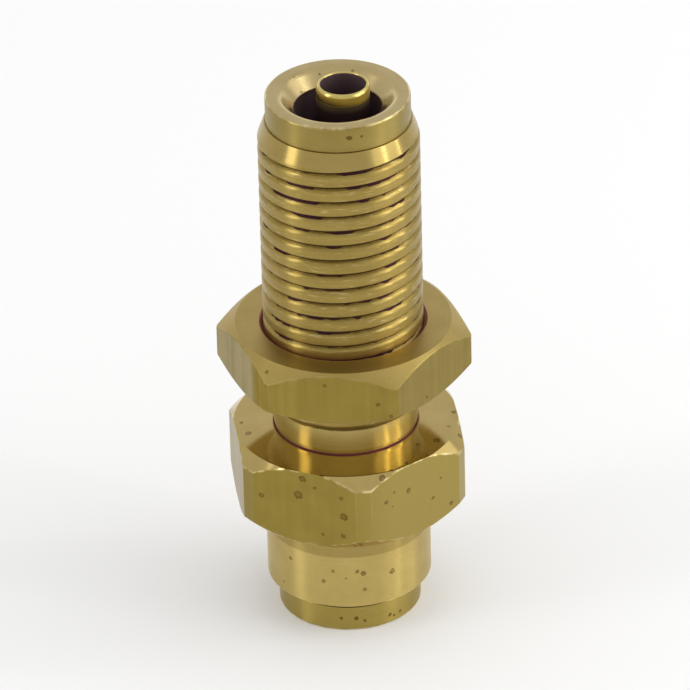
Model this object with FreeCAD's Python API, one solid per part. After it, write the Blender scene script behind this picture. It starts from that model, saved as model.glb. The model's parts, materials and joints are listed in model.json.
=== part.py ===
import FreeCAD, Part
import math
import os

# Push-in bulkhead connector for quarter inch tube, all brass with rubber seals.
# Millimetres, +Z up along the tube axis, origin on the plane that the connector stands on.
# The same socket is built into both ends: the upper one opens upwards, the lower one downwards.

# Tube that each end takes
tube_diameter = 6.35
tube_bore = 4.32

# Body, from its lower end upwards
shank_length = 7.01
hex_height = 6.43
neck_length = 2.66
thread_length = 22.81
lead_length = 1.39

# Body widths: hex bar size, and how far each turned step lies from the one beside it
hex_across_flats = 17.46
hex_corner_flat = 1.2
end_wall = 1.0
lead_drop = 0.53
neck_drop = 0.59
shank_wall = 1.75
undercut_depth = 0.18
undercut_height = 0.42
seat_margin = 0.05

# The hex's faces are turned so that only its corners are chamfered
face_overlap = 0.07
hex_chamfer_angle = 45.0

# Lock nut, and the space that it leaves for a panel
nut_height = 4.42
nut_corner_flat = 0.4
nut_turn = 15.8
nut_face_margin = 0.3
nut_upper_chamfer_angle = 36.5
nut_lower_chamfer_angle = 29.0
nut_play = 0.05
nut_countersink = 0.25
panel_space = 4.66

# Release collet: pressed ring head outside, slotted barbed fingers inside
ring_height = 2.12
ring_step = 0.12
rim_land = 1.0
mouth_depth = 1.23
collet_tube_play = 0.2
collet_wall = 0.47
collet_travel = 1.2
finger_head_rise = 0.4
finger_head_land = 0.64
finger_slots = 4
slot_width = 0.7
slot_start = 1.5
barb_bite = 0.075
barb_length = 1.0

# Retainer sleeve, pressed into the body's end round the collet
collet_play = 0.08
retainer_land = 2.2
retainer_cone = 1.8
retainer_cone_rise = 0.495
retainer_wall = 0.3
stop_gap = 0.4

# Spacer washer, seal ring and the plain bore behind them
finger_room = 0.6
spacer_thickness = 0.75
spacer_tube_play = 0.22
seal_section = 1.4
seal_nip = 0.115
seal_play = 0.01
gland_slack = 0.5
guide_length = 5.65
guide_play = 0.125

# Tube support, a flanged insert that stands on the bottom of the bore
support_play = 0.09
support_wall = 0.32
support_flange = 1.2
support_reach = 0.6
standing_gap = 0.04

# Radii of one socket, from the tube outwards
tube_radius = tube_diameter / 2
support_radius = tube_bore / 2 - support_play
passage_radius = support_radius - support_wall
guide_radius = tube_radius + guide_play
collet_bore_radius = tube_radius + collet_tube_play
barb_radius = tube_radius - barb_bite
collet_neck_radius = collet_bore_radius + collet_wall
finger_head_radius = collet_neck_radius + finger_head_rise
retainer_mouth_radius = collet_neck_radius + collet_play
retainer_cone_radius = retainer_mouth_radius + retainer_cone_rise
retainer_radius = retainer_cone_radius + retainer_wall
spacer_bore_radius = tube_radius + spacer_tube_play
seal_bore_radius = tube_radius - seal_nip
gland_radius = seal_bore_radius + seal_section + seal_play

# Radii of the body and of the ring that covers its end
lead_end_radius = retainer_radius + end_wall
thread_radius = lead_end_radius + lead_drop
neck_radius = thread_radius - neck_drop
shank_radius = retainer_radius + shank_wall
ring_radius = lead_end_radius - ring_step
nut_bore_radius = thread_radius + nut_play
hex_face_radius = hex_across_flats / 2 + face_overlap
nut_face_radius = hex_across_flats / 2 - nut_face_margin

# Depths of one socket below the body's end
cone_slope = retainer_cone_rise / retainer_cone
retainer_length = retainer_land + retainer_cone
head_start = retainer_land - collet_play / cone_slope + collet_travel + stop_gap
head_full = head_start + finger_head_rise / cone_slope
finger_end = head_full + finger_head_land
spacer_face = finger_end + finger_room
spacer_seat = spacer_face + spacer_thickness
gland_bottom = spacer_seat + seal_section + gland_slack
tube_stop = gland_bottom + guide_length

# Heights of the body: the lower ring has dropped until it stands beside the tip of the tube support
ring_drop = support_reach + standing_gap
body_low = ring_height + ring_drop
hex_low = body_low + shank_length
hex_top = hex_low + hex_height
thread_low = hex_top + neck_length
thread_high = thread_low + thread_length
body_top = thread_high + lead_length
nut_low = hex_top + panel_space
nut_top = nut_low + nut_height


def turned(points):
    """A solid of revolution about Z, from a closed outline of (radius, height) points."""
    corners = [FreeCAD.Vector(radius, 0, height) for radius, height in points]
    wire = Part.makePolygon(corners + corners[:1])
    return Part.Face(wire).revolve(FreeCAD.Vector(0, 0, 0), FreeCAD.Vector(0, 0, 1), 360)


def hex_prism(low, high, corner_flat, turn, face_radius, lower_angle, upper_angle):
    """Hex bar with flattened and chamfered corners, two of them on the X axis before it is turned."""
    corner_radius = hex_across_flats / 2 / math.cos(math.radians(30))
    flat_distance = corner_radius - corner_flat / 2 * math.tan(math.radians(30))
    points = []
    for corner in range(6):
        angle = math.radians(60 * corner + turn)
        out = FreeCAD.Vector(math.cos(angle), math.sin(angle), 0)
        along = FreeCAD.Vector(-math.sin(angle), math.cos(angle), 0)
        for side in (-corner_flat / 2, corner_flat / 2):
            points.append(out * flat_distance + along * side + FreeCAD.Vector(0, 0, low))
    outline = Part.makePolygon(points + points[:1])
    bar = Part.Face(outline).extrude(FreeCAD.Vector(0, 0, high - low))
    lower_chamfer = (corner_radius - face_radius) * math.tan(math.radians(lower_angle))
    upper_chamfer = (corner_radius - face_radius) * math.tan(math.radians(upper_angle))
    limits = [(0, low), (face_radius, low), (corner_radius, low + lower_chamfer)]
    limits += [(corner_radius, high - upper_chamfer), (face_radius, high), (0, high)]
    return bar.common(turned(limits))


def at_upper_end(shape):
    """Moves a socket piece, drawn with the body's end at height 0 and outwards up, to the upper end."""
    shape.translate(FreeCAD.Vector(0, 0, body_top))
    return shape


def at_lower_end(shape, outwards=0.0):
    """Turns a socket piece over to the lower end, and draws it outwards by the given distance."""
    shape.rotate(FreeCAD.Vector(0, 0, 0), FreeCAD.Vector(1, 0, 0), 180)
    shape.translate(FreeCAD.Vector(0, 0, body_low - outwards))
    return shape


def socket_space():
    """The stepped bore of one end: retainer seat, seal gland, tube guide."""
    return turned([
        (0, 0), (retainer_radius, 0), (retainer_radius, -spacer_seat), (gland_radius, -spacer_seat),
        (gland_radius, -gland_bottom), (guide_radius, -gland_bottom), (guide_radius, -tube_stop), (0, -tube_stop)])


def make_body():
    """Hex body with a plain shank below and the bulkhead stem above, bored from both ends."""
    shank = turned([
        (0, body_low), (shank_radius, body_low),
        (shank_radius, hex_low + hex_height / 2), (0, hex_low + hex_height / 2)])
    stem = turned([
        (0, hex_low + hex_height / 2), (neck_radius, hex_low + hex_height / 2),
        (neck_radius, thread_low), (thread_radius, thread_low + neck_drop), (thread_radius, thread_high),
        (lead_end_radius, body_top), (0, body_top)])
    relief = turned([
        (neck_radius, hex_top + undercut_height), (neck_radius - undercut_depth, hex_top - undercut_depth),
        (neck_radius + seat_margin, hex_top)])
    hex_part = hex_prism(
        hex_low, hex_top, hex_corner_flat, 0.0, hex_face_radius, hex_chamfer_angle, hex_chamfer_angle)
    body = hex_part.fuse([shank, stem])
    passage = Part.makeCylinder(passage_radius, body_top - body_low, FreeCAD.Vector(0, 0, body_low))
    body = body.cut([relief, at_upper_end(socket_space()), at_lower_end(socket_space()), passage])
    return body.removeSplitter()


def make_lock_nut():
    """Hex lock nut, its thread left as a plain bore with a countersink at each face."""
    entry_radius = nut_bore_radius + nut_countersink
    bore = turned([
        (0, nut_low), (entry_radius, nut_low), (nut_bore_radius, nut_low + nut_countersink),
        (nut_bore_radius, nut_top - nut_countersink), (entry_radius, nut_top), (0, nut_top)])
    blank = hex_prism(
        nut_low, nut_top, nut_corner_flat, nut_turn, nut_face_radius,
        nut_lower_chamfer_angle, nut_upper_chamfer_angle)
    return blank.cut(bore)


def make_release_collet():
    """Ring head with a dished mouth, and fingers that flare to a head outside and a barb inside."""
    collet = turned([
        (collet_bore_radius, ring_height - mouth_depth), (ring_radius - rim_land, ring_height),
        (ring_radius, ring_height), (ring_radius, 0), (collet_neck_radius, 0),
        (collet_neck_radius, -head_start), (finger_head_radius, -head_full), (finger_head_radius, -finger_end),
        (barb_radius, -finger_end), (collet_bore_radius, -finger_end + barb_length)])
    slot_length = finger_end - slot_start
    slots = []
    for slot in range(finger_slots):
        cut = Part.makeBox(finger_head_radius * 2, slot_width, slot_length)
        cut.translate(FreeCAD.Vector(0, -slot_width / 2, -finger_end))
        cut.rotate(FreeCAD.Vector(0, 0, 0), FreeCAD.Vector(0, 0, 1), 360 / finger_slots * (slot + 0.5))
        slots.append(cut)
    return collet.cut(slots)


def make_collet_retainer():
    """Sleeve whose cone squeezes the finger heads onto the tube when the collet is drawn out."""
    return turned([
        (retainer_mouth_radius, 0), (retainer_radius, 0), (retainer_radius, -retainer_length),
        (retainer_cone_radius, -retainer_length), (retainer_mouth_radius, -retainer_land)])


def make_spacer_washer():
    """Flat washer on the shoulder above the gland, which keeps the seal ring in its place."""
    return turned([
        (spacer_bore_radius, -spacer_seat), (retainer_radius, -spacer_seat),
        (retainer_radius, -spacer_face), (spacer_bore_radius, -spacer_face)])


def make_seal_ring():
    """Square-cut rubber ring at the bottom of the gland, a little tighter than the tube."""
    outer_radius = seal_bore_radius + seal_section
    return turned([
        (seal_bore_radius, -gland_bottom), (outer_radius, -gland_bottom),
        (outer_radius, -gland_bottom + seal_section), (seal_bore_radius, -gland_bottom + seal_section)])


def make_tube_support():
    """Flanged tube insert, which stands on the bottom of the bore and reaches past the seated ring."""
    tip = ring_height + support_reach
    return turned([
        (passage_radius, -tube_stop), (guide_radius, -tube_stop), (guide_radius, -tube_stop + support_flange),
        (support_radius, -tube_stop + support_flange), (support_radius, tip), (passage_radius, tip)])


socket_pieces = {
    "release_collet": make_release_collet,
    "collet_retainer": make_collet_retainer,
    "spacer_washer": make_spacer_washer,
    "seal_ring": make_seal_ring,
    "tube_support": make_tube_support,
}

nodes = {"body": make_body(), "lock_nut": make_lock_nut()}
for piece, make_piece in socket_pieces.items():
    dropped = ring_drop if piece == "release_collet" else 0.0
    nodes["upper_" + piece] = at_upper_end(make_piece())
    nodes["lower_" + piece] = at_lower_end(make_piece(), dropped)

os.makedirs("parts", exist_ok=True)
for name, shape in nodes.items():
    solid = shape.Solids[0]
    solid.exportStep("parts/" + name + ".step")
    box = solid.BoundBox
    print(f"{name:24s} solids {len(shape.Solids)} valid {solid.isValid()} volume {solid.Volume:9.2f}"
          f" z {box.ZMin:7.3f} to {box.ZMax:7.3f} radius {box.XMax:6.3f}")
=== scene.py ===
import json
import math

import bmesh
import bpy
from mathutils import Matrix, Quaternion, Vector, noise


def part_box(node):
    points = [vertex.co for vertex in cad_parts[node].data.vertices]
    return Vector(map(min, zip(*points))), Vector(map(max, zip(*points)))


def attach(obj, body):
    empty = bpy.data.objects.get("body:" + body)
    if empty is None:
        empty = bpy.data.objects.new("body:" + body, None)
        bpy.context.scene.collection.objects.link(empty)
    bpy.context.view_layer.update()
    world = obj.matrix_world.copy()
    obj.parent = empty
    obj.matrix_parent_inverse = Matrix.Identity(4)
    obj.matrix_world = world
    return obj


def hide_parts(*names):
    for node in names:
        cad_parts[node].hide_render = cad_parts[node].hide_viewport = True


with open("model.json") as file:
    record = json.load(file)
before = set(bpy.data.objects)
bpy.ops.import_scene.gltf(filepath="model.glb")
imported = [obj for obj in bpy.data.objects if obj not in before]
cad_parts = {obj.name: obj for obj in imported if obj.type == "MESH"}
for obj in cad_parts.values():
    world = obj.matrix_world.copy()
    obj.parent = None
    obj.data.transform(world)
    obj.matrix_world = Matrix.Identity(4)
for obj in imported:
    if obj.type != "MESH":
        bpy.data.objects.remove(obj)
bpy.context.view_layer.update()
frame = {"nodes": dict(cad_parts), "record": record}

# Push-in bulkhead connector: threaded, worn and stained skins, with painted shade and highlights, that take
# the place of the CAD solids.
# Shapes are worked out in millimetres and written to the meshes in metres.
MM = 0.001
FULL_TURN = 2 * math.pi
SIXTH = math.radians(60)


def node_box(name):
    """Lowest and highest corner of a CAD node, in millimetres."""
    low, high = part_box(name)
    return low / MM, high / MM


def mount_named(name):
    """A mount's row in the record."""
    return next(row for row in frame["record"]["mounts"] if row["name"] == name)


# Sizes that the frame gives, and the seal's clearance in its gland
seal_clearance = 0.01
body_low, body_top = node_box("body")[0].z, node_box("body")[1].z
flat_distance, corner_distance = node_box("body")[1].y, node_box("body")[1].x
nut_low, nut_top = node_box("lock_nut")[0].z, node_box("lock_nut")[1].z
hex_top = mount_named("panel_seat")["pos_m"][2] / MM
ring_radius = node_box("upper_release_collet")[1].x
ring_height = node_box("upper_release_collet")[1].z - body_top
ring_drop = body_low - node_box("lower_release_collet")[0].z - ring_height
finger_end = body_top - node_box("upper_release_collet")[0].z
retainer_radius = node_box("upper_collet_retainer")[1].x
spacer_seat = body_top - node_box("upper_spacer_washer")[0].z
gland_radius = node_box("upper_seal_ring")[1].x + seal_clearance
gland_bottom = body_top - node_box("upper_seal_ring")[0].z
guide_radius = node_box("upper_tube_support")[1].x
tube_stop = body_top - node_box("upper_tube_support")[0].z
support_tip = node_box("upper_tube_support")[1].z - body_top
support_radius = mount_named("upper_tube_port")["dims"]["r_mm"]

# Sizes of the body that the boxes don't give
hex_height = 6.43
hex_low = hex_top - hex_height
hex_face_margin = 0.07
hex_face_radius = flat_distance + hex_face_margin
hex_chamfer_angle = 45.0
neck_radius = 5.66
neck_height = 2.24
shank_radius = 6.47
# Height above which the shank is painted darker, as a shadow of the hex
hex_shadow_height = 7.3
thread_radius = 6.25
thread_low = hex_top + neck_height
lead_height = 1.39
lead_end_radius = 5.72
thread_high = body_top - lead_height
relief_height = 0.42
relief_depth = 0.18
relief_line_height = 0.3 * relief_height
relief_line_depth = 0.25 * relief_depth
seat_margin = 0.05
support_wall = 0.32
passage_radius = support_radius - support_wall
edge = 0.02
worn_width = 0.12

# Thread: half inch with twenty turns to the inch, right-handed
pitch = 1.27
root_radius = 5.94
root_half_width = 0.05
crest_round = 0.28
flank_rise = 1 / math.tan(math.radians(30))
crest_start = root_half_width + (thread_radius - root_radius) / flank_rise

# Start of the thread, in degrees past the photograph's first groove, and the tears along its edges
thread_start = (50, 190)
torn_depth = 0.03
torn_bias = 0.15
torn_reach = (0.03, 0.12)
torn_round_scale = 9
torn_height_scale = 2.1
torn_seed = 3.0

# Lock nut, with a bruise in the degrees before one corner
nut_turn = math.radians(15.8)
nut_corner_flat = 0.4
nut_corner_distance = flat_distance / math.cos(SIXTH / 2) - nut_corner_flat / 2 * math.tan(SIXTH / 2)
nut_face_inset = 0.3
nut_face_radius = flat_distance - nut_face_inset
nut_lower_chamfer_angle = 29.0
nut_upper_chamfer_angle = 36.5
bruised_corner = 240.0
bruise_start = 18.0
bruise_end = 3.0
nut_entry_radius = 6.55
nut_root_radius = 6.3
nut_crest_radius = 5.9
thread_clearance = 0.06

# Release collet and tube support
mouth_depth = 1.12
rim_land = 1.1
rim_round = 0.12
land_round = 0.35
mouth_shadow = 0.25
mouth_break = 0.15
collet_round = 0.05
collet_bore = 3.375
collet_neck = 3.845
finger_head = 4.245
head_start = 3.509
head_full = 4.964
barb_radius = 3.1
barb_length = 1.0
finger_slots = 4
slot_width = 0.7
slot_start = 1.5
support_flange = 1.2
upper_support_lean = (0.21, 0.63)
lip_round = 0.06
lip_inside_depth = 0.12
lip_bevel_width = 0.04
lip_bevel_depth = 0.03

# Round from the mouth to its land, outwards: shares of land_round across and down
land_curve = ((-0.7, 0.7), (-0.2, 0.3), (0.4, 0.06), (1.0, 0.0))

# Outside of the tube support's lip, upwards: inset, depth below the tip, and share of painted shade, darker
# towards its foot
lip_steps = ((0, 1.7, 1.0), (0, 1.1, 0.85), (0, 0.85, 0), (0, 0.3, 0), (0.05, 0.12, 0), (0.18, 0, 0))

# Shares of painted shade in corners and of wear with a painted highlight on edges, which for a hex are the
# upper, lower and upright ones; the right side of the body's hex gets a brighter painted highlight on its
# upper edges
bore_shade = 0.4
neck_shade = 0.4
seat_shade = 0.3
shoulder_shade = 0.6
mouth_shade = 0.3
finger_shade = 0.5
flange_shade = 0.5
shank_wear_and_sheen = 0.5
rim_wear_and_sheen = 0.4
hex_wear_and_sheen = (0.45, 0.35, 0.1)
hex_right_highlight = (0.9, 0.35, 0.1)
hex_right_highlight_start = math.radians(300)
nut_wear_and_sheen = (0.1, 0.05, 0.04)

# Columns of vertices round each piece, the least share of a step between two, the length in millimetres
# and the distance in metres that count as none, and how far upwards the normal of an upright face may point
body_columns = 170
nut_columns = 150
collet_columns = 120
support_columns = 72
least_step = 0.45
shortest_side = 1e-6
same_place = 1e-9
sideways_limit = 0.5

# Camera, from the ellipses and edges of the photograph
camera_azimuth = math.radians(22.85)
camera_elevation = math.radians(30.7)
camera_roll = math.radians(1.49)
camera_distance = 566.4
camera_focal_pixels = 7262
image_pixels = 690
aim_height = 21.67
aim_pixel = (344.35, 357.84)
front_angle = camera_azimuth - math.pi / 2
first_groove_height = 41.47


# Outlines

def soften(corners, size):
    """Breaks the inner corners of an open outline of (tag, radius, height, share of painted shade and worn
    sheen) by small rounds.
    """
    softened = [corners[0]]
    for before, corner, after in zip(corners, corners[1:], corners[2:]):
        tag, radius, height, dirt = corner
        here = Vector((radius, height))
        to_before = Vector(before[1:3]) - here
        to_after = Vector(after[1:3]) - here
        start = here + to_before.normalized() * min(size, to_before.length / 3)
        end = here + to_after.normalized() * min(size, to_after.length / 3)
        middle = start * 0.25 + here * 0.5 + end * 0.25
        for point in (start, middle, end):
            softened.append((tag, point.x, point.y, dirt))
    softened.append(corners[-1])
    return softened


def even_angles(count):
    """Angles of evenly spaced columns, from 0."""
    return [FULL_TURN * index / count for index in range(count)]


def corner_half_angle(distance):
    """Half the angle that a hex's flattened corner takes up, from the corner's distance to the axis."""
    corner_radius = flat_distance / math.cos(SIXTH / 2)
    half_flat = (corner_radius - distance) / math.tan(SIXTH / 2)
    return math.atan2(half_flat, distance)


def hex_angles(count, distance, turn):
    """Even angles, with close columns at each edge of the hex's flattened corners."""
    half_angle = corner_half_angle(distance)
    half_break = edge / distance
    pairs = []
    for corner in range(6):
        for side in (-half_angle, half_angle):
            for step in (-3 * half_break, -half_break, half_break, 3 * half_break):
                pairs.append((turn + math.radians(60 * corner) + side + step) % FULL_TURN)
    room = FULL_TURN / count * least_step
    angles = list(pairs)
    for angle in even_angles(count):
        if min(abs((angle - other + math.pi) % FULL_TURN - math.pi) for other in pairs) > room:
            angles.append(angle)
    return sorted(angles)


def angle_from_corner(angle, turn):
    """Angle from the nearest corner of a hex."""
    return (angle - turn + SIXTH / 2) % SIXTH - SIXTH / 2


def hex_plane(angle, distance, turn):
    """Distance from the axis to the hex bar's outside, and the angle that this side of it faces."""
    from_flat = (angle - turn) % SIXTH - SIXTH / 2
    from_corner = angle_from_corner(angle, turn)
    to_flat = flat_distance / math.cos(from_flat)
    to_corner = distance / math.cos(from_corner)
    return (to_flat, angle - from_flat) if to_flat < to_corner else (to_corner, angle - from_corner)


def near_edge(angle, distance, turn):
    """Whether an angle lies on one of a hex's upright edges."""
    from_edge = abs(angle_from_corner(angle, turn)) - corner_half_angle(distance)
    return abs(from_edge) * distance < 2 * edge


def chamfer_rows(outside, face_radius, slope, edge_wear_and_sheen, side_wear_and_sheen):
    """Rows from a hex's turned face over its chamfer to the bar's side, as radius, drop and a share of edge
    wear with a painted highlight, given below nought.
    """
    inner = min(face_radius - edge, outside - 2 * edge)
    outer = min(face_radius + edge, outside - 1.5 * edge)
    before_edge = max(outer, outside - worn_width)
    rows = []
    for radius, wear_and_sheen in ((inner, 0), (outer, 0), (before_edge, 0), (outside - edge, edge_wear_and_sheen)):
        rows.append((radius, max(0, radius - face_radius) * slope, -wear_and_sheen))
    drop = max(0, outside - face_radius) * slope + edge
    return rows + [(outside, drop, -edge_wear_and_sheen), (outside, drop + worn_width, -side_wear_and_sheen)]


def hex_rows(angle, low, high, distance, turn, face_radius, chamfer_angles, wear_and_sheen):
    """Rows down the outside of a hex; the wear, with its painted highlight, is given for its upper, lower
    and upright edges.
    """
    outside = hex_plane(angle, distance, turn)[0]
    side_wear_and_sheen = wear_and_sheen[2] if near_edge(angle, distance, turn) else 0
    slopes = [math.tan(math.radians(chamfer)) for chamfer in chamfer_angles]
    upper = chamfer_rows(outside, face_radius, slopes[0], wear_and_sheen[0], side_wear_and_sheen)
    lower = chamfer_rows(outside, face_radius, slopes[1], wear_and_sheen[1], side_wear_and_sheen)
    rows = []
    for tag, (radius, drop, dirt) in zip(("face", "face", "face", "flat", "flat", "flat"), upper):
        rows.append((tag, radius, high - drop, dirt))
    for tag, (radius, drop, dirt) in zip(("flat", "flat", "face", "face", "face", "face"), reversed(lower)):
        rows.append((tag, radius, low + drop, dirt))
    return rows


def body_facing(angle):
    """Angle that the side of the body's hex faces."""
    return hex_plane(angle, corner_distance, 0.0)[1]


def nut_facing(angle):
    """Angle that the nut's side faces; one corner is bruised round over part of the flat before it."""
    facing = hex_plane(angle, nut_corner_distance, nut_turn)[1]
    before_corner = math.degrees((nut_turn + math.radians(bruised_corner) - angle) % FULL_TURN)
    if before_corner > bruise_start:
        return facing
    return facing + SIXTH * (1 - smooth_step(bruise_end, bruise_start, before_corner))


def smooth_step(low, high, value):
    """Share from 0 to 1 that rises smoothly between two values."""
    share = min(max((value - low) / (high - low), 0), 1)
    return share * share * (3 - 2 * share)


def stem_radius(height):
    """Radius of the stem before its thread is cut."""
    if height > thread_high:
        share = (height - thread_high) / (body_top - thread_high)
        return thread_radius + (lead_end_radius - thread_radius) * share
    return min(thread_radius, max(neck_radius, neck_radius + height - thread_low))


def groove_radius(offset):
    """Radius of a sharp thread at a distance along the axis from the middle of its groove."""
    return root_radius + max(0, abs(offset) - root_half_width) * flank_rise


def groove_depth(plain, offset):
    """Depth of the groove below the plain stem; the upper edge of each crest is rounded off."""
    depth = plain - groove_radius(offset)
    if offset > 0 or depth > crest_round:
        return max(0, depth)
    return max(0, depth + crest_round) ** 2 / (4 * crest_round)


# Rows of one turn of the thread, by their height above the middle of the groove
thread_offsets = [
    pitch / 2, 0.45, crest_start + edge, crest_start - edge, 0.12, root_half_width,
    -root_half_width, -0.09, -0.13, -0.18, -0.23, -0.29, -0.36, -0.43, -0.53]
rows_per_turn = len(thread_offsets)


def helix_rows(angle, low, high, make_row):
    """Rows that follow the thread from high down to low; make_row gives each its tag, radius and share of
    painted shade.
    """
    top_groove = first_groove_height - pitch * (front_angle % FULL_TURN) / FULL_TURN
    top_groove += pitch * math.ceil((high - pitch / 2 - top_groove) / pitch)
    turns = math.ceil((top_groove + 1.5 * pitch - low) / pitch)
    rows = []
    for turn in range(turns):
        groove = top_groove + pitch * (angle / FULL_TURN - turn)
        for offset in thread_offsets:
            height = min(max(groove + offset, low), high)
            tag, radius, dirt = make_row(angle, height, groove, height - groove)
            rows.append((tag, radius, height, dirt))
    return rows


def stem_thread_row(angle, height, groove, offset):
    """The stem's thread: it starts on the lead cone at the right, and its edges are a little torn."""
    plain = stem_radius(height)
    lead_angle = 360 * (groove - first_groove_height) / pitch
    cut = 1 - smooth_step(*thread_start, lead_angle)
    grain = noise.noise(Vector((angle * torn_round_scale, groove * torn_height_scale, torn_seed)))
    torn = torn_depth * max(0, grain + torn_bias)
    at_edge = 1 - smooth_step(*torn_reach, abs(abs(offset) - crest_start))
    depth = (groove_depth(plain, offset) + torn * at_edge) * cut
    # The groove's depth, as a share, is its painted shade
    return "thread", plain - depth, depth / (thread_radius - root_radius)


def nut_thread_row(angle, height, groove, offset):
    """The nut's thread, which runs in the stem's groove, with a countersink at each face."""
    radius = min(max(groove_radius(offset) + thread_clearance, nut_crest_radius), nut_root_radius)
    from_face = min(height - nut_low, nut_top - height)
    return "groove", max(radius, nut_entry_radius - from_face), 0


def socket_rows(height_at):
    """The stepped bore of one end, from its mouth inwards, painted with a share of shade."""
    steps = [
        (retainer_radius, 0), (retainer_radius, -spacer_seat), (gland_radius, -spacer_seat),
        (gland_radius, -gland_bottom), (guide_radius, -gland_bottom), (guide_radius, -tube_stop),
        (passage_radius, -tube_stop)]
    return [("bore", radius, height_at(height), bore_shade) for radius, height in steps]


def at_upper_end(height):
    """Height in the whole part of a height above the body's upper end."""
    return body_top + height


def at_lower_end(height):
    """The same for the lower end, which is upside down."""
    return body_low - height


def at_dropped_ring(height):
    """The same for the lower ring, which rests a little out of its end."""
    return body_low - ring_drop - height


def body_outline(angle):
    """The body's section at one angle, from the upper end down the outside and back up through the bore."""
    rows = [("lead", lead_end_radius - edge, body_top, 0)]
    first = len(rows)
    rows += helix_rows(angle, thread_low, body_top - edge, stem_thread_row)
    last = len(rows)
    rows += soften([
        ("smooth", neck_radius, thread_low, neck_shade), ("smooth", neck_radius, thread_low - worn_width, 0),
        ("smooth", neck_radius, hex_top + relief_height, 0),
        ("groove", neck_radius - relief_line_depth, hex_top + relief_line_height, 0),
        ("groove", neck_radius - relief_depth, hex_top - relief_depth, 0),
        ("face", neck_radius + seat_margin, hex_top, seat_shade),
        ("face", neck_radius + 4 * seat_margin, hex_top, 0),
        ("face", hex_face_radius - 6 * edge, hex_top, 0)], edge)
    # The hex's upper edges get a brighter painted highlight on its right side
    rows += hex_rows(angle, hex_low, hex_top, corner_distance, 0.0, hex_face_radius,
                     (hex_chamfer_angle, hex_chamfer_angle),
                     hex_right_highlight if angle > hex_right_highlight_start else hex_wear_and_sheen)
    rows += soften([
        ("turned", hex_face_radius - 6 * edge, hex_low, 0),
        ("turned", shank_radius, hex_low, shoulder_shade), ("turned", shank_radius, hex_low - 3 * edge, 0),
        ("turned", shank_radius, body_low + worn_width, 0),
        ("turned", shank_radius, body_low, -shank_wear_and_sheen), ("turned", shank_radius - worn_width, body_low, 0),
        ("turned", retainer_radius, body_low, 0)], edge)
    rows += socket_rows(at_lower_end)
    rows += reversed(socket_rows(at_upper_end))
    return rows, (first, last)


def nut_outline(angle):
    """The nut's section at one angle: down the outside, then up through the thread."""
    clean_radius = nut_entry_radius + 2 * edge
    rows = [("face", clean_radius, nut_top, 0)]
    rows += hex_rows(angle, nut_low, nut_top, nut_corner_distance, nut_turn, nut_face_radius,
                     (nut_upper_chamfer_angle, nut_lower_chamfer_angle), nut_wear_and_sheen)
    rows.append(("face", clean_radius, nut_low, 0))
    first = len(rows)
    rows += reversed(helix_rows(angle, nut_low, nut_top, nut_thread_row))
    return rows, (first, len(rows))


# Meshes

def row_normals(rows):
    """Outward normal of a closed outline at each row, as (radial, upward); long sides count for more."""
    points = [Vector(row[1:3]) for row in rows]
    area = 0
    for here, after in zip(points, points[1:] + points[:1]):
        area += here.x * after.y - after.x * here.y
    sign = -1 if area > 0 else 1
    sides = [after - here for here, after in zip(points, points[1:] + points[:1])]
    count = len(rows)
    normals = []
    for row in range(count):
        before = row - 1
        while sides[before].length < shortest_side:
            before -= 1
        after = row
        while sides[after % count].length < shortest_side:
            after += 1
        along = sides[before] * sides[before].length + sides[after % count] * sides[after % count].length
        normals.append(Vector((-along.y, along.x)).normalized() * sign)
    return normals


class Builder:
    """Collects the columns of one piece, with a normal for each vertex and a signed share: painted shade
    above nought, edge wear with a painted highlight below.
    """

    def __init__(self):
        self.bm = bmesh.new()
        self.dirt = self.bm.verts.layers.float.new("dirt")
        self.normals = []

    def column(self, angle, rows, side_angle=None, shift=None):
        """One column of vertices; rows at the same place share a vertex."""
        column = []
        for (tag, radius, height, dirt), (outwards, upwards) in zip(rows, row_normals(rows)):
            place = Vector((radius * math.cos(angle), radius * math.sin(angle), height)) * MM
            if shift:
                place += shift(height)
            if column and (column[-1].co - place).length < same_place:
                column.append(column[-1])
                continue
            facing = angle
            if side_angle is not None and tag in ("flat", "face") and abs(upwards) < sideways_limit:
                facing = side_angle
            vertex = self.bm.verts.new(place)
            vertex[self.dirt] = dirt
            self.normals.append(Vector((outwards * math.cos(facing), outwards * math.sin(facing), upwards)))
            column.append(vertex)
        return column

    def strip(self, left, right, tags, slots, skipped=()):
        """Faces between two neighbouring columns."""
        count = len(left)
        for row in range(count):
            if row in skipped:
                continue
            after = (row + 1) % count
            corners = []
            for vertex in (left[row], right[row], right[after], left[after]):
                if vertex not in corners:
                    corners.append(vertex)
            if len(corners) < 3:
                continue
            face = self.bm.faces.new(corners)
            face.smooth = True
            tag = tags[row]
            if tag == "thread" and min(vertex.co.z for vertex in corners) > thread_high * MM:
                tag = "lead"
            face.material_index = slots.index(tag)

    def finish(self, name, materials, body, node):
        """Makes the piece that stands for a CAD node and rides on its body."""
        bmesh.ops.recalc_face_normals(self.bm, faces=self.bm.faces)
        mesh = bpy.data.meshes.new(name)
        self.bm.to_mesh(mesh)
        self.bm.free()
        mesh.normals_split_custom_set_from_vertices(self.normals)
        for material in materials:
            mesh.materials.append(material)
        piece = bpy.data.objects.new(name, mesh)
        bpy.context.scene.collection.objects.link(piece)
        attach(piece, body)
        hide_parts(node)
        return piece


def hex_skin(name, angles, facing_at, outline, materials, body, node):
    """A closed skin through one outline per angle, whose thread rows climb a turn at the seam."""
    builder = Builder()
    columns = []
    for angle in angles:
        rows, (first, last) = outline(angle)
        columns.append(builder.column(angle, rows, facing_at(angle)))
    tags = [row[0] for row in rows]
    upwards = rows[first][2] < rows[last - 1][2]
    seam = list(columns[0])
    for row in range(first, last):
        shifted = row + rows_per_turn if upwards else row - rows_per_turn
        seam[row] = columns[0][min(max(shifted, first), last - 1)]
    for left, right in zip(columns, columns[1:] + [seam]):
        builder.strip(left, right, tags, list(materials))
    return builder.finish(name, list(materials.values()), body, node)


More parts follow.
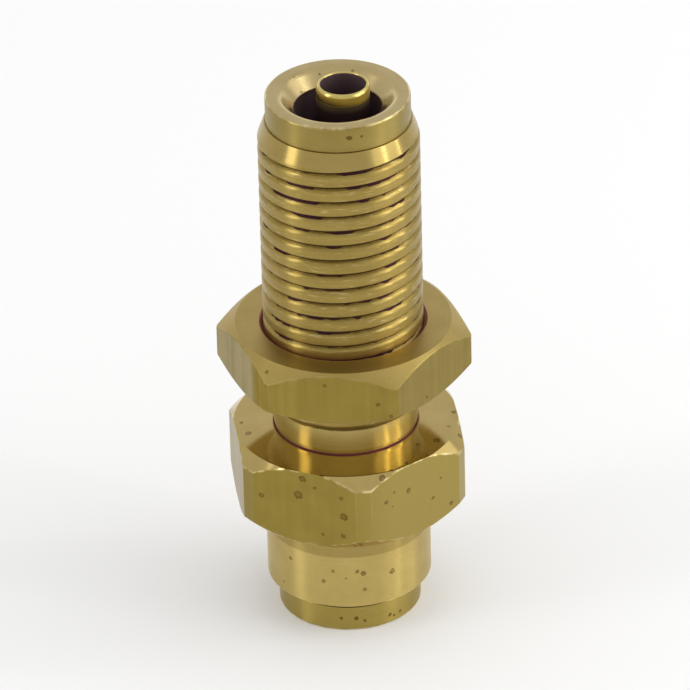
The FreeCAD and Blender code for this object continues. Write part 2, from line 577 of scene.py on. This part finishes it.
def collet_piece(name, height_at, materials, body, node):
    """Release ring with a countersunk mouth, and its slotted fingers."""
    hole_top = ring_height - mouth_depth
    land_radius = ring_radius - rim_land
    land = []
    for across, down in land_curve:
        land.append(("dish", land_radius + across * land_round, ring_height - down * land_round, 0))
    # The bore is painted with shade from just below the mouth's edge and inside the fingers
    head = soften([
        ("dish", collet_bore, -slot_start, 1.0), ("dish", collet_bore, hole_top - mouth_shadow, 1.0),
        ("dish", collet_bore, hole_top, mouth_shade),
        ("dish", collet_bore + mouth_break, hole_top + mouth_break, 0), *land,
        ("dish", ring_radius - rim_round - worn_width, ring_height, 0),
        ("dish", ring_radius - rim_round, ring_height, -rim_wear_and_sheen),
        ("band", ring_radius, ring_height - rim_round, -rim_wear_and_sheen),
        ("band", ring_radius, ring_height - rim_round - worn_width, 0),
        ("band", ring_radius, 0, 0), ("band", collet_neck, 0, 0),
        ("band", collet_neck, -slot_start, 0)], collet_round)
    fingers = soften([
        ("band", collet_neck, -slot_start, 0), ("band", collet_neck, -head_start, 0),
        ("band", finger_head, -head_full, 0), ("band", finger_head, -finger_end, 0),
        ("band", barb_radius, -finger_end, 0), ("dish", collet_bore, barb_length - finger_end, finger_shade),
        ("dish", collet_bore, -slot_start, 1.0)], collet_round)
    rows = [(tag, radius, height_at(height), dirt) for tag, radius, height, dirt in head + fingers[1:-1]]
    finger_rows = range(len(head) - 1, len(rows))
    half_slot = math.atan2(slot_width / 2, collet_neck)
    edges = []
    for slot in range(finger_slots):
        middle = FULL_TURN / finger_slots * (slot + 0.5)
        edges += [middle - half_slot, middle + half_slot]
    angles = list(edges)
    for angle in even_angles(collet_columns):
        if min(abs(angle - other) for other in edges) > half_slot / 4:
            angles.append(angle)
    angles.sort()
    builder = Builder()
    columns = [builder.column(angle, rows) for angle in angles]
    tags = [row[0] for row in rows]
    for index, left in enumerate(columns):
        right = columns[(index + 1) % len(columns)]
        middle = (angles[index] + FULL_TURN / collet_columns / 4) % FULL_TURN
        in_slot = any(low < middle < high for low, high in zip(edges[::2], edges[1::2]))
        builder.strip(left, right, tags, list(materials), finger_rows if in_slot else ())
        if in_slot:
            builder.bm.faces.new((left[finger_rows[0]], right[finger_rows[0]], right[0], left[0]))
        if angles[index] in edges:
            builder.bm.faces.new([left[row] for row in finger_rows] + [left[0]])
    return builder.finish(name, list(materials.values()), body, node)


def support_piece(name, height_at, materials, node, lean=(0, 0)):
    """Flanged tube insert with a rounded lip, which may lean a little from its flange."""
    foot = height_at(support_flange - tube_stop)
    tip = height_at(support_tip)

    def shift(height):
        share = min(max((height - foot) / (tip - foot), 0), 1)
        return Vector((lean[0] * share, lean[1] * share, 0)) * MM

    outside = []
    for inset, depth, dirt in lip_steps:
        outside.append(("turned", support_radius - inset, support_tip - depth, dirt))
    lip = soften([
        ("turned", support_radius, support_flange - tube_stop, 1.0), *outside,
        ("turned", passage_radius + lip_bevel_width, support_tip - lip_bevel_depth, 0),
        ("inside", passage_radius, support_tip - lip_inside_depth, 0),
        ("inside", passage_radius, -tube_stop, 0)], lip_round)
    flange = [
        ("turned", guide_radius, -tube_stop, flange_shade),
        ("turned", guide_radius, support_flange - tube_stop, flange_shade)]
    rows = [(tag, radius, height_at(height), dirt) for tag, radius, height, dirt in lip + flange]
    builder = Builder()
    columns = [builder.column(angle, rows, None, shift) for angle in even_angles(support_columns)]
    tags = [row[0] for row in rows]
    for left, right in zip(columns, columns[1:] + columns[:1]):
        builder.strip(left, right, tags, list(materials))
    return builder.finish(name, list(materials.values()), "fitting", node)


# Colours of the painted shade, the worn edges with their painted highlight, the painted glints, each kind
# of surface, the floor and the light
# Painted shade in the thread's groove: broad dashes and a thin line
BROAD_GROOVE_SHADE = (0.1, 0.038, 0.042, 1)
THIN_GROOVE_SHADE = (0.12, 0.072, 0.023, 1)
DEEP_SHADE = (0.04, 0.02, 0.02, 1)
SHADE = (0.05, 0.027, 0.03, 1)
# Painted shade for the insides of bores and the tube support's passage
INSIDE_SHADE = (0.3, 0.2, 0.22, 1)
# Painted shade for the neck's relief groove and the nut's thread
GROOVE_SHADE = (0.62, 0.3, 0.29, 1)
STAIN = (0.09, 0.046, 0.008, 1)
# Worn edges, lighter brass that also serves as a painted highlight
WORN_EDGE_SHEEN = (0.85, 0.72, 0.38, 1)
# Painted glints on the thread's torn crests
TORN_GLINT = (0.85, 0.7, 0.36, 1)
TURNED = (0.56, 0.425, 0.145, 1)
CUT = (0.38, 0.275, 0.078, 1)
LEAD = (0.4, 0.297, 0.095, 1)
LIP = (0.66, 0.53, 0.17, 1)
# The neck's turned brass, painted darker than the shank's for the dim surroundings it reflects under the
# nut
NECK_SHADED = (0.51, 0.4, 0.15, 1)
DRAWN = (0.31, 0.232, 0.052, 1)
# Painted highlight on the right side of the hex's flats
RIGHT_HIGHLIGHT = (0.37, 0.28, 0.078, 1)
FACED = (0.42, 0.31, 0.097, 1)
POLISHED = (0.51, 0.385, 0.14, 1)
DISH = (0.52, 0.41, 0.195, 1)
BAND = (0.34, 0.258, 0.075, 1)
# The lower ring's band, painted lighter than the upper one to make up for the shade it gets near the floor
LOWER_BAND_BRIGHTENED = (0.44, 0.335, 0.09, 1)
RUBBER = (0.02, 0.02, 0.02, 1)
DUST = (0.12, 0.12, 0.12, 1)
FLOOR = (0.96, 0.96, 0.96, 1)
WHITE = (1, 1, 1, 1)
TARNISH_TINT = (1.0, 0.97, 0.85)

# Shares of a colour that are left where it is tarnished, and under the painted shadow of the hex
patch_tone = 0.8
streak_tone = 0.55
speck_tone = 0.3
hex_shadow_tone = 0.6

# Grain and tarnish, the painted highlight on the right side, the painted shadow under the hex, painted
# glints and painted shade; spans are the values of a pattern between which it sets in
drawn_stretch = 0.03
turned_stretch = 0.25
grain_turn = 0.25
streak_span = (0.3, 0.7)
right_highlight_span = (3.5, 6.5)
hex_shadow_blur = 0.06
hex_shadow_share = 0.7
dust_span = (0.4, 0.8)
dust_share = 0.3
rubber_rough = (0.5, 0.75)
floor_rough = 0.9
stain_strength = 0.75
stain_wobble = 0.35
wobble_span = (0.25, 0.75)
stain_border = (0.75, 1.0)
stain_core = (0.2, 0.7)
glint_stretch = (2.5, 4.0)
thin_line = 0.85
broad_line = 0.42
line_blur = 0.12
shade_roughness = 0.65


# Materials

def join(tree, socket, value):
    """Links a socket to another, or sets it."""
    if isinstance(value, bpy.types.NodeSocket):
        tree.links.new(value, socket)
    else:
        socket.default_value = value


def calculate(tree, operation, *values):
    """Output of a math node."""
    made = tree.nodes.new("ShaderNodeMath")
    made.operation = operation
    for socket, value in zip(made.inputs, values):
        join(tree, socket, value)
    return made.outputs[0]


def combine(tree, x, y, z):
    """Vector from its three parts."""
    made = tree.nodes.new("ShaderNodeCombineXYZ")
    for socket, value in zip(made.inputs, (x, y, z)):
        join(tree, socket, value)
    return made.outputs[0]


def noise_value(tree, vector, scale, detail=3.0, roughness=0.55):
    """Value of a noise pattern."""
    made = tree.nodes.new("ShaderNodeTexNoise")
    join(tree, made.inputs["Vector"], vector)
    made.inputs["Scale"].default_value = scale
    made.inputs["Detail"].default_value = detail
    made.inputs["Roughness"].default_value = roughness
    return made.outputs["Fac"]


def remap(tree, value, low, high, to_low, to_high):
    """A value carried over from one range to another, and kept within it."""
    made = tree.nodes.new("ShaderNodeMapRange")
    for socket, number in zip(made.inputs, (value, low, high, to_low, to_high)):
        join(tree, socket, number)
    return made.outputs[0]


def noise_share(tree, vector, scale, span, share=1.0, detail=2.0, roughness=0.55):
    """Share of a noise pattern, which sets in over a span of its values."""
    return remap(tree, noise_value(tree, vector, scale, detail, roughness), *span, 0.0, share)


def mix_colors(tree, share, first, second):
    """Colour between two others."""
    made = tree.nodes.new("ShaderNodeMix")
    made.data_type = "RGBA"
    join(tree, made.inputs["Factor"], share)
    join(tree, made.inputs[6], first)
    join(tree, made.inputs[7], second)
    return made.outputs[2]


def millimetres(tree):
    """Place on the object in millimetres, its x, y and z, and its radius and angle about the axis."""
    coordinates = tree.nodes.new("ShaderNodeTexCoord")
    scaled = tree.nodes.new("ShaderNodeVectorMath")
    scaled.operation = "SCALE"
    tree.links.new(coordinates.outputs["Object"], scaled.inputs[0])
    scaled.inputs["Scale"].default_value = 1 / MM
    parts = tree.nodes.new("ShaderNodeSeparateXYZ")
    tree.links.new(scaled.outputs[0], parts.inputs[0])
    x, y, z = parts.outputs
    squares = calculate(tree, "ADD", calculate(tree, "MULTIPLY", x, x), calculate(tree, "MULTIPLY", y, y))
    radius = calculate(tree, "SQRT", squares)
    angle = calculate(tree, "ARCTAN2", y, x)
    return scaled.outputs[0], x, y, z, radius, angle


def darker(color, share):
    """A darker, browner tone of a brass colour, for tarnish and for the painted shadow under the hex."""
    red, green, blue = (part * share * tint for part, tint in zip(color, TARNISH_TINT))
    return (red, green, blue, 1)


def stain_share(tree, place, stains, middle_share):
    """How much of a stain lies at each place; the middle of a stain may be paler than its border."""
    wobble = noise_value(tree, place, scale=3.5, detail=2.0)
    wobble = remap(tree, wobble, *wobble_span, -stain_wobble, stain_wobble)
    total = 0.0
    for centre, size in stains:
        away = tree.nodes.new("ShaderNodeVectorMath")
        away.operation = "DISTANCE"
        tree.links.new(place, away.inputs[0])
        away.inputs[1].default_value = centre
        distance = calculate(tree, "DIVIDE", away.outputs["Value"], size)
        distance = calculate(tree, "ADD", distance, wobble)
        border = remap(tree, distance, *stain_border, 1.0, 0.0)
        middle = remap(tree, distance, *stain_core, middle_share, 1.0)
        total = calculate(tree, "MAXIMUM", total, calculate(tree, "MULTIPLY", border, middle))
    return total


def tarnished(tree, place, color, pattern, streaks):
    """A brass colour with darker patches, a share of streaks along its grain, and specks."""
    patches = noise_share(tree, place, scale=0.45, span=(0.35, 0.7), share=0.5, detail=3.0)
    specks = noise_share(tree, place, scale=5.5, span=(0.7, 0.78), share=0.6)
    tone = mix_colors(tree, patches, color, darker(color, patch_tone))
    streaked = remap(tree, pattern, *streak_span, 0.0, streaks)
    tone = mix_colors(tree, streaked, tone, darker(color, streak_tone))
    return mix_colors(tree, specks, tone, darker(color, speck_tone))


def thread_groove_shade(tree, place, dirt):
    """Painted shade in the thread's groove and its colour: a thin line, and broad dashes at random places.
    """
    broad = noise_share(tree, place, scale=0.4, span=(0.5, 0.6), roughness=0.6)
    line_start = remap(tree, broad, 0.0, 1.0, thin_line, broad_line)
    line_end = calculate(tree, "ADD", line_start, line_blur)
    return remap(tree, dirt, line_start, line_end, 0.0, 1.0), mix_colors(tree, broad, THIN_GROOVE_SHADE, BROAD_GROOVE_SHADE)


def brass(name, color, rough, streaks, anisotropy=0.0, grain="turned", streak_scale=5.0, stains=(),
          stain_middle=0.5, right_highlight=None, hex_shadow_above=None, shadow=DEEP_SHADE):
    """Brass with the grain of its making, tarnish and stains, worn edges with a painted highlight, and
    painted shade in its corners; options add a painted highlight on the right side, a painted shadow under
    the hex, and painted glints with groove shade on the thread.
    """
    material = bpy.data.materials.new(name)
    material.use_nodes = True
    tree = material.node_tree
    shader = tree.nodes["Principled BSDF"]
    place, x, y, z, radius, angle = millimetres(tree)
    if grain == "drawn":
        lines = combine(tree, x, y, calculate(tree, "MULTIPLY", z, drawn_stretch))
    else:
        lines = combine(tree, radius, calculate(tree, "MULTIPLY", angle, turned_stretch), z)
    pattern = noise_value(tree, lines, streak_scale, roughness=0.6)
    tone = tarnished(tree, place, color, pattern, streaks)
    # Painted highlight: lighter towards +x, the right side, where the right lamps fall
    if right_highlight:
        tone = mix_colors(tree, remap(tree, x, *right_highlight_span, 0.0, 1.0), tone, right_highlight)
    # Painted shadow of the hex: darker above a height on the shank
    if hex_shadow_above:
        hex_shadow = remap(tree, z, hex_shadow_above - hex_shadow_blur, hex_shadow_above + hex_shadow_blur, 0.0, hex_shadow_share)
        tone = mix_colors(tree, hex_shadow, tone, darker(color, hex_shadow_tone))
    if stains:
        stained = stain_share(tree, place, stains, stain_middle)
        tone = mix_colors(tree, calculate(tree, "MULTIPLY", stained, stain_strength), tone, STAIN)
    # The vertex share: above nought it is painted shade, below nought edge wear with a painted highlight
    attribute = tree.nodes.new("ShaderNodeAttribute")
    attribute.attribute_name = "dirt"
    dirt = calculate(tree, "MAXIMUM", attribute.outputs["Fac"], 0.0)
    wear_and_sheen = calculate(tree, "MAXIMUM", calculate(tree, "MULTIPLY", attribute.outputs["Fac"], -1.0), 0.0)
    # Worn edges are lighter brass, which is also a painted highlight, broken up by noise
    broken = noise_share(tree, place, scale=1.3, span=(0.42, 0.6), share=0.9)
    tone = mix_colors(tree, calculate(tree, "MULTIPLY", wear_and_sheen, broken), tone, WORN_EDGE_SHEEN)
    shade_color = shadow
    if grain == "thread":
        # Painted glints along the thread's torn crests
        round_axis = calculate(tree, "MULTIPLY", angle, glint_stretch[0])
        along = combine(tree, radius, round_axis, calculate(tree, "MULTIPLY", z, glint_stretch[1]))
        torn = noise_share(tree, along, scale=2.2, span=(0.6, 0.7), share=0.3)
        tone = mix_colors(tree, torn, tone, TORN_GLINT)
        # In the thread, the painted shade becomes a line and dashes along the groove's root
        dirt, shade_color = thread_groove_shade(tree, place, dirt)
    join(tree, shader.inputs["Base Color"], mix_colors(tree, dirt, tone, shade_color))
    shader.inputs["Metallic"].default_value = 1.0
    shader.inputs["Anisotropic"].default_value = anisotropy
    shader.inputs["Anisotropic Rotation"].default_value = grain_turn
    tangent = tree.nodes.new("ShaderNodeTangent")
    tangent.direction_type = "RADIAL"
    tangent.axis = "Z"
    tree.links.new(tangent.outputs[0], shader.inputs["Tangent"])
    clean = remap(tree, pattern, *streak_span, *rough)
    join(tree, shader.inputs["Roughness"], remap(tree, dirt, 0.0, 1.0, clean, shade_roughness))
    return material


def rubber(name, color):
    """Moulded black rubber with a fine dusty grain."""
    material = bpy.data.materials.new(name)
    material.use_nodes = True
    tree = material.node_tree
    shader = tree.nodes["Principled BSDF"]
    place = millimetres(tree)[0]
    dust = noise_value(tree, place, scale=6.0, detail=4.0)
    dusty = remap(tree, dust, *dust_span, 0.0, dust_share)
    join(tree, shader.inputs["Base Color"], mix_colors(tree, dusty, color, DUST))
    join(tree, shader.inputs["Roughness"], remap(tree, dust, *streak_span, *rubber_rough))
    return material


# Stains and pits, read off the photograph; angles in degrees, the rest in millimetres

def on_side(facing, rows):
    """Stains on the side of a hex that faces an angle, from rows of distance along it, height and size."""
    across, ahead = math.cos(math.radians(facing)), math.sin(math.radians(facing))
    stains = []
    for along, height, size in rows:
        place = (flat_distance * across - along * ahead, flat_distance * ahead + along * across, height)
        stains.append((place, size))
    return stains


def turned_place(angle, radius, height):
    """Place at an angle round the axis, a radius and a height."""
    return (radius * math.cos(math.radians(angle)), radius * math.sin(math.radians(angle)), height)


def on_round(rows, radius):
    """Stains on a turned outside, from rows of angle, height and size."""
    return [(turned_place(angle, radius, height), size) for angle, height, size in rows]


def on_face(rows, height_at):
    """Stains on a turned face and its chamfer, from rows of angle, radius and size."""
    return [(turned_place(angle, radius, height_at(radius)), size) for angle, radius, size in rows]


def hex_face_height(radius):
    """Height of the hex's top and chamfer at a radius."""
    return hex_top - max(0, radius - hex_face_radius) * math.tan(math.radians(hex_chamfer_angle))


def nut_face_height(radius):
    """Height of the nut's top and chamfer at a radius."""
    return nut_top - max(0, radius - nut_face_radius) * math.tan(math.radians(nut_upper_chamfer_angle))


def mouth_height(radius):
    """Height of the upper ring's land and mouth at a radius."""
    return body_top + ring_height - max(0, ring_radius - rim_land - radius)


hex_front = -90
hex_right = hex_front + 60
nut_front = math.degrees(nut_turn) + hex_front
nut_right = nut_front + 60
HEX_STAINS = on_side(hex_front, [
    (-0.5, 14.1, 0.39), (-3.6, 13.4, 0.23), (-0.1, 15.6, 0.31), (0.9, 15.0, 0.17), (3.3, 12.9, 0.35),
    (3.1, 14.5, 0.17), (3.2, 11.1, 0.23), (1.5, 10.9, 0.16)])
HEX_STAINS += on_side(hex_right, [
    (-0.7, 13.9, 0.23), (-2.1, 14.3, 0.12), (-2.9, 13.7, 0.22), (-2.3, 13.1, 0.09), (1.7, 12.3, 0.16),
    (2.5, 13.8, 0.12), (3.5, 11.1, 0.2)])
SHANK_STAINS = on_round([
    (-113, 6.2, 0.2), (-79, 6.0, 0.16), (-86, 5.0, 0.17), (-70, 5.4, 0.09), (-62, 6.0, 0.17),
    (-58, 5.8, 0.25), (-36, 5.4, 0.27), (-57, 4.3, 0.17), (-121, 3.6, 0.12)], shank_radius)
FACE_STAINS = on_face([
    (-143, 7.9, 0.27), (-155, 8.2, 0.16), (-174, 9.5, 0.25), (-5, 8.0, 0.31), (-15, 7.0, 0.2),
    (7, 9.2, 0.23), (11, 8.2, 0.16), (-34, 8.4, 0.2), (-44, 8.7, 0.16), (-50, 9.1, 0.27),
    (-80, 8.8, 0.16), (26, 8.5, 0.23)], hex_face_height)
NUT_FACE_STAINS = on_face([(-108, 9.2, 0.18), (-127, 8.9, 0.12)], nut_face_height)
NUT_STAINS = on_side(nut_front, [(-0.5, 24.3, 0.16), (3.6, 22.8, 0.2), (4.6, 21.8, 0.16)])
NUT_STAINS += on_side(nut_right, [(-1.1, 21.6, 0.16)])
MOUTH_STAINS = on_face([
    (132, 4.1, 0.12), (96, 4.2, 0.14), (161, 4.4, 0.09), (165, 3.5, 0.12), (28, 3.6, 0.1)], mouth_height)
RING_DOTS = on_round([(-59, 44.3, 0.25), (-49, 44.3, 0.15)], ring_radius)
LOWER_DOTS = on_round([
    (-75, 1.1, 0.16), (-63, 1.1, 0.18), (-56, 0.8, 0.16), (-34, 0.8, 0.18), (-30, 0.6, 0.14),
    (-23, 0.7, 0.16)], ring_radius)

# The shank's top is painted darker as a shadow of the hex
turned_brass = brass("turned_brass", TURNED, rough=(0.27, 0.3), streaks=0.06, anisotropy=1.0,
                     stains=SHANK_STAINS, hex_shadow_above=hex_shadow_height)
lead_brass = brass("lead_brass", LEAD, rough=(0.24, 0.28), streaks=0.05, anisotropy=0.85)
lip_brass = brass("lip_brass", LIP, rough=(0.2, 0.26), streaks=0.1, anisotropy=0.3, shadow=SHADE)
# Passage of the tube support, painted as shade
inside_brass = brass("inside_brass", INSIDE_SHADE, rough=(0.5, 0.6), streaks=0.2)
# Painted shade in the relief groove and the nut's thread
groove_dirt = brass("groove_dirt", GROOVE_SHADE, rough=(0.5, 0.6), streaks=0.2)
# The neck, painted darker for the dim surroundings it reflects
smooth_brass = brass("smooth_brass", NECK_SHADED, rough=(0.2, 0.22), streaks=0.05, anisotropy=1.0)
polished_brass = brass("polished_brass", POLISHED, rough=(0.08, 0.11), streaks=0.05, anisotropy=0.3,
                       stains=FACE_STAINS)
faced_brass = brass("faced_brass", FACED, rough=(0.4, 0.44), streaks=0.04, anisotropy=0.2,
                    stains=NUT_FACE_STAINS)
# The hex's flats, with a painted highlight on the right side
drawn_brass = brass("drawn_brass", DRAWN, rough=(0.26, 0.36), streaks=0.15, grain="drawn", streak_scale=1.5,
                    stains=HEX_STAINS, right_highlight=RIGHT_HIGHLIGHT)
nut_drawn_brass = brass("nut_drawn_brass", DRAWN, rough=(0.26, 0.38), streaks=0.35, grain="drawn",
                        streak_scale=1.2, stains=NUT_STAINS)
thread_brass = brass("thread_brass", CUT, rough=(0.28, 0.35), streaks=0.25, anisotropy=0.9, grain="thread")
dish_brass = brass("dish_brass", DISH, rough=(0.21, 0.25), streaks=0.06, stains=MOUTH_STAINS, shadow=INSIDE_SHADE)
band_brass = brass("band_brass", BAND, rough=(0.3, 0.4), streaks=0.08, anisotropy=0.9, stains=RING_DOTS,
                   stain_middle=1.0)
# The lower ring's band, painted lighter against the shade near the floor
lower_band_brass = brass("lower_band_brass", LOWER_BAND_BRIGHTENED, rough=(0.3, 0.4), streaks=0.08, anisotropy=0.9,
                         stains=LOWER_DOTS, stain_middle=1.0)
bore_brass = brass("bore_brass", TURNED, rough=(0.3, 0.5), streaks=0.2, anisotropy=0.3)
seal_rubber = rubber("seal_rubber", RUBBER)

# Pieces
body_materials = {"lead": lead_brass, "thread": thread_brass, "smooth": smooth_brass, "groove": groove_dirt,
                  "face": polished_brass, "flat": drawn_brass, "turned": turned_brass, "bore": bore_brass}
body_angles = hex_angles(body_columns, corner_distance, 0.0)
hex_skin("connector_body", body_angles, body_facing, body_outline, body_materials,
         "fitting", "body")
nut_materials = {"face": faced_brass, "flat": nut_drawn_brass, "groove": groove_dirt}
nut_angles = hex_angles(nut_columns, nut_corner_distance, nut_turn)
hex_skin("hex_lock_nut", nut_angles, nut_facing, nut_outline, nut_materials,
         "nut", "lock_nut")
collet_piece("upper_ring_and_fingers", at_upper_end, {"dish": dish_brass, "band": band_brass},
             "upper_ring", "upper_release_collet")
collet_piece("lower_ring_and_fingers", at_dropped_ring, {"dish": dish_brass, "band": lower_band_brass},
             "lower_ring", "lower_release_collet")
support_materials = {"turned": lip_brass, "inside": inside_brass}
support_piece("upper_support_tube", at_upper_end, support_materials, "upper_tube_support",
              upper_support_lean)
support_piece("lower_support_tube", at_lower_end, support_materials, "lower_tube_support")
inner_materials = {"collet_retainer": bore_brass, "spacer_washer": bore_brass, "seal_ring": seal_rubber}
for end in ("upper_", "lower_"):
    for node, material in inner_materials.items():
        slots = frame["nodes"][end + node].data.materials
        slots.clear()
        slots.append(material)


# Floor, light and camera

def pale_floor():
    """A dull, nearly white floor, 3 m wide."""
    material = bpy.data.materials.new("pale_floor")
    material.use_nodes = True
    tree = material.node_tree
    shader = tree.nodes["Principled BSDF"]
    shader.inputs["Base Color"].default_value = FLOOR
    shader.inputs["Roughness"].default_value = floor_rough
    shader.inputs["Specular IOR Level"].default_value = 0.0
    mesh = bpy.data.meshes.new("floor")
    half = 1.5
    corners = [(-half, -half, 0), (half, -half, 0), (half, half, 0), (-half, half, 0)]
    mesh.from_pydata(corners, [], [(0, 1, 2, 3)])
    mesh.materials.append(material)
    floor = bpy.data.objects.new("floor", mesh)
    bpy.context.scene.collection.objects.link(floor)


def direction(azimuth, elevation):
    """Unit vector from the object towards a place at an azimuth from the camera's side, in degrees."""
    angle = front_angle + math.radians(azimuth)
    flat = math.cos(math.radians(elevation))
    return Vector((flat * math.cos(angle), flat * math.sin(angle), math.sin(math.radians(elevation))))


def soft_lamp(name, azimuth, elevation, width, height, level):
    """A softbox half a metre away that faces the object; its width and height are given in degrees."""
    distance = 0.5
    data = bpy.data.lights.new(name, "AREA")
    data.shape = "RECTANGLE"
    data.size = 2 * distance * math.tan(math.radians(width / 2))
    data.size_y = 2 * distance * math.tan(math.radians(height / 2))
    data.energy = level * math.pi * data.size * data.size_y
    lamp = bpy.data.objects.new(name, data)
    towards = direction(azimuth, elevation)
    lamp.location = Vector((0, 0, aim_height * MM)) + towards * distance
    lamp.rotation_mode = "QUATERNION"
    lamp.rotation_quaternion = towards.to_track_quat("Z", "Y")
    bpy.context.scene.collection.objects.link(lamp)


def studio_world(level):
    """Even white light from all round."""
    world = bpy.data.worlds.new("studio")
    world.use_nodes = True
    world.node_tree.nodes["Background"].inputs["Color"].default_value = WHITE
    world.node_tree.nodes["Background"].inputs["Strength"].default_value = level
    bpy.context.scene.world = world


def photo_camera():
    """The camera as it was fitted to the photograph."""
    data = bpy.data.cameras.new("photo_camera")
    data.sensor_width = 36
    data.lens = camera_focal_pixels / image_pixels * data.sensor_width
    data.shift_x = (image_pixels / 2 - aim_pixel[0]) / image_pixels
    data.shift_y = (aim_pixel[1] - image_pixels / 2) / image_pixels
    data.clip_start = 0.01
    data.clip_end = 20
    camera = bpy.data.objects.new("photo_camera", data)
    towards = direction(0, math.degrees(camera_elevation))
    camera.location = (Vector((0, 0, aim_height)) + towards * camera_distance) * MM
    camera.rotation_mode = "QUATERNION"
    camera.rotation_quaternion = towards.to_track_quat("Z", "Y") @ Quaternion((0, 0, 1), -camera_roll)
    bpy.context.scene.collection.objects.link(camera)
    bpy.context.scene.camera = camera


pale_floor()
studio_world(level=0.8)

# Lamps, by azimuth from the camera, elevation, width and height in degrees, and brightness
lamps = {
    "left_softbox": (-70, 20, 15, 46, 2.6),
    "right_softbox": (69, 20, 42, 46, 1.1),
    "right_near_strip": (67, 20, 3, 46, 6.3),
    "right_far_strip": (92, 20, 3, 46, 6.3),
    "back_panel": (180, 10, 80, 22, 0.4),
    "right_window": (100, 36, 40, 30, 0.7),
    "left_window": (-93, 41, 10, 8, 0.6)}
for lamp_name, (azimuth, elevation, width, height, level) in lamps.items():
    soft_lamp(lamp_name, azimuth, elevation, width, height, level)
photo_camera()
bpy.context.scene.view_settings.view_transform = "Standard"
